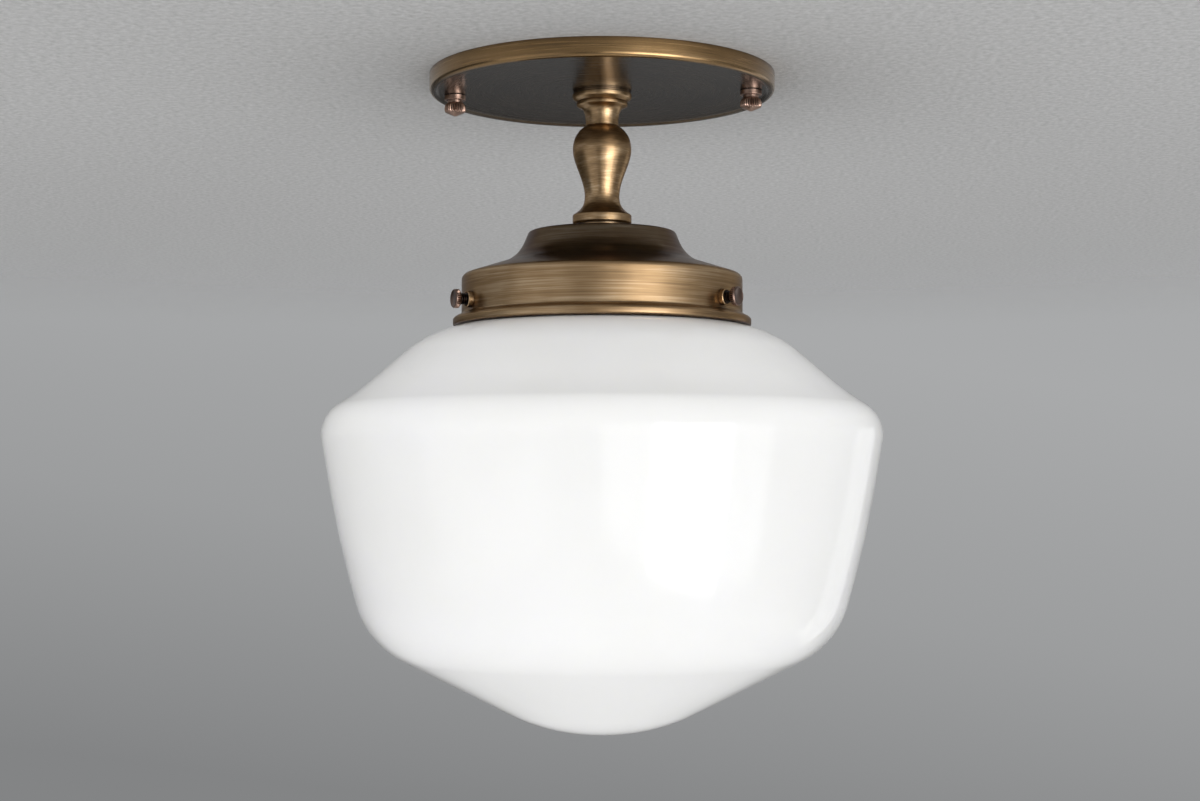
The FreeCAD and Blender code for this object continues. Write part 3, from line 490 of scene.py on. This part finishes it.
def copy_of(piece, name):
    """A copy with its own mesh."""
    twin = piece.copy()
    twin.data = piece.data.copy()
    twin.name = twin.data.name = name
    scene.collection.objects.link(twin)
    return twin


def joined(pieces, name):
    """These pieces as one, by a new name."""
    select(*pieces)
    bpy.ops.object.join()
    pieces[0].name = pieces[0].data.name = name
    return pieces[0]


def stands_for(piece, node, body, material, crease=33):
    """Finishes a piece and lets it stand for its CAD node."""
    select(piece)
    bpy.ops.object.shade_smooth_by_angle(angle=math.radians(crease))
    piece.data.materials.clear()
    piece.data.materials.append(material)
    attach(piece, body)
    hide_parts(node)


def make_canopy():
    """Pressed from sheet: a flat underside inside a low, rolled rim."""
    radius, rim_foot, sheet = 63.5, -6.8, 0.9
    outer = rounded([(radius, 0, 0), (radius, rim_foot, 1.6), (61.1, rim_foot, 0.95),
                     (60.1, CANOPY_UNDERSIDE, 0.8), (CLAMP_HOLE, CANOPY_UNDERSIDE, 0)])
    canopy = turn_ring("canopy_spun", outer + wall_inside(outer, sheet), SPUN_SIDES)
    stands_for(canopy, "canopy", "fixture", canopy_brass)


def make_canopy_studs():
    """Two threaded studs that the knobs run on."""
    stud = cut_thread("canopy_stud_threads", root=1.66, low=-12.2, high=0)
    other = copy_of(stud, "other_stud")
    settle(stud, (-STUD_X, 0, 0))
    settle(other, (STUD_X, 0, 0))
    stands_for(joined([stud, other], "canopy_stud_threads"), "canopy_studs", "fixture",
               zinc_steel)


def make_canopy_knobs():
    """Each knob: a plain collar with eased edges, a short neck, and a fluted barrel of a head
    with a blunt point."""
    top = CANOPY_UNDERSIDE
    flange, neck, barrel = 4.0, 2.85, 3.95
    flange_foot, head_top, hole_end = top - 1.85, top - 2.8, -12.3
    collar = turn_ring("knob_collar", rounded([
        (SCREW_HOLE, top, 0), (flange, top, 0.22), (3.93, top - 0.5, 1.0),
        (3.93, top - 1.35, 1.0), (flange, flange_foot, 0.28), (neck, flange_foot, 0.2),
        (neck, head_top, 0), (SCREW_HOLE, head_top, 0)]), sides=72)
    head = turn_on_lathe("knob_head", rounded([
        (0, hole_end, 0), (SCREW_HOLE, hole_end, 0), (SCREW_HOLE, head_top, 0),
        (2.9, head_top, 0), (3.55, -9.4, 1.2), (barrel, -10.4, 2.5), (barrel, -11.75, 1.0),
        (3.55, -12.35, 0), (3.3, -12.5, 0), (0.55, -13.7, 0.5), (0, -13.8, 0)]), HEAD_SIDES)
    cut_flutes(head, core=2.6, bands=[(-9.35, -8.85, 0.1), (-9.75, -9.36, 0.25),
                                      (-12.2, -9.76, 0.48), (-12.36, -12.21, 0.3)])
    for side, x in (("left", -STUD_X), ("right", STUD_X)):
        band = copy_of(collar, "knob_collar_" + side)
        settle(band, (x, 0, 0))
        stands_for(band, "canopy_knob_collar_" + side, "canopy_knob_" + side + "_thread",
                   copper_brass)
        grip = copy_of(head, "knob_head_" + side)
        settle(grip, (x, 0, 0))
        stands_for(grip, "canopy_knob_head_" + side, "canopy_knob_" + side + "_head",
                   copper_brass, HEAD_CREASE)
    for pattern in (collar, head):
        bpy.data.objects.remove(pattern)


def make_stem():
    """Collar, baluster and foot ring, turned from bar and clamped on the nipple."""
    top = CANOPY_UNDERSIDE
    bead, ridge, flare_top, flare_foot = 10.9, 9.4, (8.6, top - 5.4), 6.0
    moulding = rounded([
        (CLAMP_HOLE, top, 0), (10.42, top, 0), (10.5, top - 0.08, 0), (10.5, top - 0.55, 0),
        (10.6, top - 0.6, 0), (bead, top - 0.78, 0.2), (bead, top - 2.2, 1.3),
        (9.1, top - 3.6, 0), (ridge, top - 3.9, 0.3), (ridge, top - 4.9, 0.35),
        (*flare_top, 0)])
    flare = curved(flare_top, (6.6, top - 5.8), (flare_foot, COLLAR_FOOT + 4.4),
                   (flare_foot, COLLAR_FOOT + 0.12))
    collar = moulding + flare[1:] + [(5.88, COLLAR_FOOT), (CLAMP_HOLE, COLLAR_FOOT)]
    stands_for(turn_ring("stem_collar", collar, BAR_SIDES), "neck_collar", "fixture",
               antique_brass)

    widest, widest_z, waist, waist_z = 10.8, -27.2, 6.38, -44.6
    belly = curved((6.0, COLLAR_FOOT - 0.08), (8.45, COLLAR_FOOT - 1.4), (widest, -22.6),
                   (widest, widest_z))
    taper = curved((widest, widest_z), (widest, -32.4), (waist, -38.4), (waist, waist_z), 24)
    foot = curved((waist, waist_z), (waist, -47.2), (7.3, -49.2), (10.2, BALUSTER_FOOT))
    baluster = ([(CLAMP_HOLE, COLLAR_FOOT), (5.9, COLLAR_FOOT)] + belly + taper[1:] + foot[1:]
                + [(CLAMP_HOLE, BALUSTER_FOOT)])
    stands_for(turn_ring("stem_baluster", baluster, BAR_SIDES), "neck_baluster", "fixture",
               antique_brass)

    ring_radius, ring_foot, base = 10.85, BALUSTER_FOOT - 3.8, 9.4
    ring = rounded([(CLAMP_HOLE, BALUSTER_FOOT, 0), (10.3, BALUSTER_FOOT, 0.15),
                    (ring_radius, BALUSTER_FOOT - 0.55, 0.4),
                    (ring_radius, BALUSTER_FOOT - 3.25, 0.5), (10.3, ring_foot, 0),
                    (base, ring_foot, 0), (base, HOLDER_TOP, 0), (CLAMP_HOLE, HOLDER_TOP, 0)])
    stands_for(turn_ring("stem_foot_ring", ring, BAR_SIDES), "neck_foot_ring", "fixture",
               antique_brass)


def make_shade_holder():
    """Spun from sheet: flat top, flared side, sloping shoulder, upright band and a rolled lip.
    The lip hangs 0.6 mm lower than the solid's, close over the glass."""
    band, band_inside, lip, lip_foot, sheet_under_top = 51.45, 50.45, 54.6, -92.85, -58.9
    outer = rounded([
        (CLAMP_HOLE, HOLDER_TOP, 0), (27.0, HOLDER_TOP, 1.05), (31.0, -67.6, 13.5),
        (band, -74.2, 2.0), (band, -88.25, 0.7), (lip, -89.8, 1.35), (lip, lip_foot, 1.2),
        (50.9, lip_foot, 0)])
    inner = rounded([(band_inside, -92.4, 0), (band_inside, -74.9, 1.0), (30.3, -68.4, 14.5),
                     (26.2, sheet_under_top, 0), (CLAMP_HOLE, sheet_under_top, 0)])
    stands_for(turn_ring("shade_holder_spun", outer + inner, SPUN_SIDES), "shade_holder",
               "fixture", holder_brass)


def make_thumb_screws():
    """Three tapped bosses on the band, each with a dark threaded screw and a fluted head. They
    are drawn upright, with each radius from the light's axis as a height, and then laid down."""
    boss_foot, boss_radius, countersink = 50.9, 2.9, 2.34
    boss = turn_ring("boss", rounded([
        (boss_radius, boss_foot, 0), (boss_radius, 53.15, 0), (2.68, 53.4, 0.1), (2.5, 53.4, 0),
        (countersink, 53.2, 0), (countersink, 52.7, 0), (SCREW_HOLE, 52.6, 0),
        (SCREW_HOLE, boss_foot, 0)]), sides=64)
    shank = cut_thread("screw", root=1.62, low=46.6, high=57.3)
    hole_end, head_foot, grip_radius, groove, rim, end_face = 57.4, 56.1, 3.4, 3.28, 3.38, 58.05
    head = turn_on_lathe("head", rounded([
        (0, hole_end, 0), (SCREW_HOLE, hole_end, 0), (SCREW_HOLE, head_foot, 0),
        (2.95, head_foot, 0), (grip_radius, 56.4, 0.2), (grip_radius, 57.0, 0),
        (grip_radius, 57.55, 0), (groove, 57.62, 0), (groove, 57.7, 0), (rim, 57.76, 0),
        (rim, 57.9, 0.1), (3.05, 58.27, 0.15), (2.8, 58.3, 0.1), (2.62, 58.18, 0),
        (0, 58.1, 0)]), HEAD_SIDES)
    cut_flutes(head, core=2.6, bands=[(56.2, 56.45, 0.22), (56.46, 57.56, 0.48)])
    bosses = []
    for number, angle in THUMB_SCREW_ANGLES.items():
        place = ((0, 0, THUMB_SCREW_Z), (0, 90, angle))
        tapped = copy_of(boss, "boss_" + str(number))
        settle(tapped, *place)
        bosses.append(tapped)
        screw = copy_of(shank, "thumb_screw_threads_" + str(number))
        settle(screw, *place)
        stands_for(screw, "thumb_screw_shank_" + str(number),
                   "thumb_screw_" + str(number) + "_thread", dark_steel)
        grip = copy_of(head, "thumb_screw_grip_" + str(number))
        settle(grip, *place)
        stands_for(grip, "thumb_screw_head_" + str(number),
                   "thumb_screw_" + str(number) + "_head", copper_brass,
                   HEAD_CREASE)
        grip.data.materials.append(aged_copper)
        outwards = Vector((math.cos(math.radians(angle)), math.sin(math.radians(angle)), 0))
        for face in grip.data.polygons:
            if face.center.dot(outwards) > end_face * MM:
                face.material_index = 1
    stands_for(joined(bosses, "holder_bosses"), "screw_bosses", "fixture",
               antique_brass)
    for pattern in (boss, shank, head):
        bpy.data.objects.remove(pattern)


def make_shade():
    """Blown opal glass: fitter lip, neck, shoulder, tapering side and shallow bowl."""
    lip, neck, wall = 49.3, 46.5, 3.5
    neck_top, foot = SHADE_TOP - 5.4, SHADE_TOP - 164.0
    fitter = rounded([(43.0, SHADE_TOP, 0), (lip, SHADE_TOP, 0.8), (lip, SHADE_TOP - 3.0, 0.8),
                      (neck, neck_top, 0)])
    body = rounded([
        (neck, neck_top, 0), (neck, SHADE_TOP - 15.5, 2.0), (62.1, SHADE_TOP - 17.4, 43.0),
        (89.5, SHADE_TOP - 41.0, 90.0), (103.2, SHADE_TOP - 49.5, 12.8),
        (95.4, SHADE_TOP - 93.48, 320.0), (85.2, SHADE_TOP - 130.3, 31.6),
        (19.2, foot, 70.0), (0, foot, 0)], arc_step=3)
    inner = wall_inside(body, wall)
    inner[0] = Vector((0, foot + wall))
    shade = turn_ring("shade_blown", fitter + body[1:] + inner, SPUN_SIDES)
    stands_for(shade, "shade", "fixture", opal_glass)


make_canopy()
make_canopy_studs()
make_canopy_knobs()
make_stem()
make_shade_holder()
make_thumb_screws()
make_shade()


# ---- studio -------------------------------------------------------------------------------

CEILING_HOLE = 0.06     # radius, over the canopy, where the ceiling's box would be
CEILING_RADIUS = 2.52
CEILING_FADE = (0.3, 1.15)
FLOOR_RADIUS = 5.0
FLOOR_Z = -1.4
FLOOR_FADE = (1.6, 4.6)
KEY_AZIMUTH = 39.8      # degrees
LAMPS_AIM_Z = -0.12     # the height that the lamps face
LAMPS_TILT = 0.3        # how much of the way down or up to it they turn
BACKDROP_SLANT = 0.17   # how much its grey falls off to the left, as a share of the fall downwards
BACKDROP_LIGHT = 0.66
CAMERA_PLACE = (0.0582, -0.6926, -0.1525)
CAMERA_TILT = 2.71      # degrees upwards
CAMERA_TURN = 4.866     # degrees to the left
FOCAL_LENGTH = 57       # millimetres, with a sensor 36 wide: 1900 of the photograph's 1200 pixels


def fade_out(tree, shader, distance, fade, behind=None):
    """Ends a material that is clear from the fade's far end on, and where it is seen from behind
    if that is asked for."""
    fading = add(tree, "ShaderNodeMapRange", {"Value": distance},
                 {"From Min": fade[0], "From Max": fade[1]}, interpolation_type="SMOOTHSTEP")
    if behind:
        fading = add(tree, "ShaderNodeMath", {0: fading.outputs[0], 1: behind},
                     operation="MAXIMUM")
    clear = add(tree, "ShaderNodeBsdfTransparent")
    finish_material(tree, add(tree, "ShaderNodeMixShader", {
        0: fading.outputs[0], 1: shader.outputs[0], 2: clear.outputs[0]}))


def painted_ceiling():
    """Roller-painted plaster: a pale grey with the roller's orange-peel skin. It fades out well
    away from the light, and is clear from above so that the fixture can be seen from there. The
    light that it sends on is a paler ceiling's."""
    material, tree, where = new_material("roller_painted_plaster")
    peel = add(tree, "ShaderNodeTexNoise", {"Vector": where},
               {"Scale": 1 / (2.4 * MM), "Detail": 3.0, "Roughness": 0.6})
    paint = add(tree, "ShaderNodeValToRGB", {"Fac": peel.outputs["Fac"]},
                stops=[(0.3, "#ACACAC"), (0.7, "#C4C4C4")])
    ray = add(tree, "ShaderNodeLightPath").outputs
    bounce = add(tree, "ShaderNodeMix", {"Factor": ray["Is Diffuse Ray"],
                                         6: paint.outputs["Color"]},
                 {7: colour("#FAFAFA")}, data_type="RGBA")
    bump = add(tree, "ShaderNodeBump", {"Height": peel.outputs["Fac"]},
               {"Strength": 0.8, "Distance": 0.6 * MM})
    matt = add(tree, "ShaderNodeBsdfDiffuse", {"Color": bounce.outputs[2],
                                               "Normal": bump.outputs[0]})
    away = add(tree, "ShaderNodeVectorMath", {0: where}, operation="LENGTH").outputs["Value"]
    behind = add(tree, "ShaderNodeNewGeometry").outputs["Backfacing"]
    fade_out(tree, matt, away, CEILING_FADE, behind)
    return material


def pale_floor():
    """A matt pale floor that fades into the backdrop far away."""
    material, tree, where = new_material("matt_pale_floor")
    speck = add(tree, "ShaderNodeTexNoise", {"Vector": where}, {"Scale": 1 / (6 * MM)})
    paint = add(tree, "ShaderNodeValToRGB", {"Fac": speck.outputs["Fac"]},
                stops=[(0.3, "#C8C8C8"), (0.7, "#CECECE")])
    matt = add(tree, "ShaderNodeBsdfDiffuse", {"Color": paint.outputs["Color"]})
    fade_out(tree, matt, from_axis(tree, where)[1], FLOOR_FADE)
    return material


def build_studio():
    """A ceiling with the round hole of its box, and a pale floor far below."""
    bpy.ops.object.select_all(action="DESELECT")
    bpy.ops.mesh.primitive_circle_add(vertices=128, radius=CEILING_HOLE, location=(0, 0, 0))
    ceiling = bpy.context.object
    ceiling.name = "ceiling"
    bpy.ops.object.mode_set(mode="EDIT")
    bpy.ops.mesh.select_all(action="SELECT")
    bpy.ops.mesh.extrude_edges_move()
    wider = CEILING_RADIUS / CEILING_HOLE
    bpy.ops.transform.resize(value=(wider, wider, 1), center_override=(0, 0, 0))
    bpy.ops.mesh.select_all(action="SELECT")
    bpy.ops.mesh.normals_make_consistent(inside=False)
    bpy.ops.object.mode_set(mode="OBJECT")
    if ceiling.data.polygons[0].normal.z > 0:
        ceiling.data.flip_normals()
    ceiling.data.materials.append(painted_ceiling())
    bpy.ops.mesh.primitive_circle_add(vertices=128, radius=FLOOR_RADIUS, fill_type="NGON",
                                      location=(0, 0, FLOOR_Z))
    floor = bpy.context.object
    floor.name = "floor"
    floor.data.materials.append(pale_floor())


def plain_backdrop():
    """The world: an even grey that darkens downwards and a little to the left, and, where only
    metal and glass see it, falls off to a dim room below. The light that it gives is plain."""
    world = bpy.data.worlds.new("plain_backdrop")
    scene.world = world
    world.use_nodes = True
    tree = world.node_tree
    tree.nodes.clear()
    where = add(tree, "ShaderNodeTexCoord").outputs["Generated"]
    slanted = add(tree, "ShaderNodeVectorMath", {0: where}, {1: (BACKDROP_SLANT, 0, 1)},
                  operation="DOT_PRODUCT")
    seen_greys = [(0.0, "#838485"), (0.5, "#9C9D9E"), (1.0, "#A9AAAB")]
    room_greys = [(0.0, "#333333"), (1.0, "#7E7F80")]
    sides = []
    for lowest, highest, stops in ((-0.19, 0.08, seen_greys), (-0.26, -0.12, room_greys)):
        height = add(tree, "ShaderNodeMapRange", {"Value": slanted.outputs["Value"]},
                     {"From Min": lowest, "From Max": highest})
        grey = add(tree, "ShaderNodeValToRGB", {"Fac": height.outputs[0]}, stops=stops)
        sides.append(add(tree, "ShaderNodeBackground", {"Color": grey.outputs["Color"]}))
    seen, room = sides
    light = add(tree, "ShaderNodeBackground",
                values={"Color": colour("#FFFFFF"), "Strength": BACKDROP_LIGHT})
    ray = add(tree, "ShaderNodeLightPath").outputs
    mirrored = add(tree, "ShaderNodeMath", {0: ray["Is Glossy Ray"],
                                            1: ray["Is Transmission Ray"]}, operation="MAXIMUM")
    lit = add(tree, "ShaderNodeMixShader", {0: mirrored.outputs[0], 1: light.outputs[0],
                                            2: room.outputs[0]})
    both = add(tree, "ShaderNodeMixShader", {0: ray["Is Camera Ray"], 1: lit.outputs[0],
                                             2: seen.outputs[0]})
    add(tree, "ShaderNodeOutputWorld", {"Surface": both.outputs[0]})


def softbox(name, azimuth, distance, height, width, tall, power, mirrored=True, lights=True):
    """A soft lamp that faces the light's axis. Azimuth is in degrees from the front, to the
    right, and power in watts. A fill that isn't mirrored only softens the shadows, and a card
    that doesn't light is only mirrored."""
    data = bpy.data.lights.new(name, "AREA")
    data.shape = "RECTANGLE"
    data.size, data.size_y = width, tall
    data.energy = power
    lamp = bpy.data.objects.new(name, data)
    scene.collection.objects.link(lamp)
    turn = math.radians(azimuth)
    lamp.location = (distance * math.sin(turn), -distance * math.cos(turn), height)
    toward = Vector((0, 0, LAMPS_AIM_Z)) - lamp.location
    toward.z *= LAMPS_TILT
    lamp.rotation_euler = toward.to_track_quat("-Z", "Y").to_euler()
    lamp.visible_camera = False
    lamp.visible_glossy = mirrored
    lamp.visible_diffuse = lights
    return lamp


def light_studio():
    """A key lamp with wings at the right, a softer fill at the left, a rim lamp at the back and
    a fill from below. The cards give the glass its broad reflections."""
    softbox("key", KEY_AZIMUTH, 1.1, -0.38, 0.6, 0.8, 2.7)
    softbox("key_wings", KEY_AZIMUTH, 1.15, -0.34, 1.6, 0.9, 2.4)
    softbox("key_card", KEY_AZIMUTH, 1.12, -0.32, 0.6, 0.9, 4.0, lights=False)
    softbox("wing_card", KEY_AZIMUTH, 1.17, -0.34, 1.6, 0.9, 3.2, lights=False)
    softbox("left_fill", -47.2, 1.3, -0.4, 1.4, 1.1, 5.4, mirrored=False)
    softbox("left_card", -43.2, 1.35, -0.35, 1.3, 1.0, 2.2, lights=False)
    softbox("right_rim", 133.8, 1.2, -0.45, 0.45, 0.9, 0.7)
    under = softbox("under_fill", 0, 0.01, -1.2, 1.4, 1.4, 4.4, mirrored=False)
    under.rotation_euler = (math.pi, 0, 0)


def place_camera():
    """The photograph's viewpoint: 695 mm from the axis, a little below the canopy, tilted up."""
    data = bpy.data.cameras.new("camera")
    data.sensor_width = 36
    data.lens = FOCAL_LENGTH
    data.clip_start = 0.01
    camera = bpy.data.objects.new("camera", data)
    scene.collection.objects.link(camera)
    camera.location = CAMERA_PLACE
    camera.rotation_euler = (math.radians(90 + CAMERA_TILT), 0, math.radians(CAMERA_TURN))
    scene.camera = camera


build_studio()
plain_backdrop()
light_studio()
place_camera()

scene.view_settings.view_transform = "Standard"
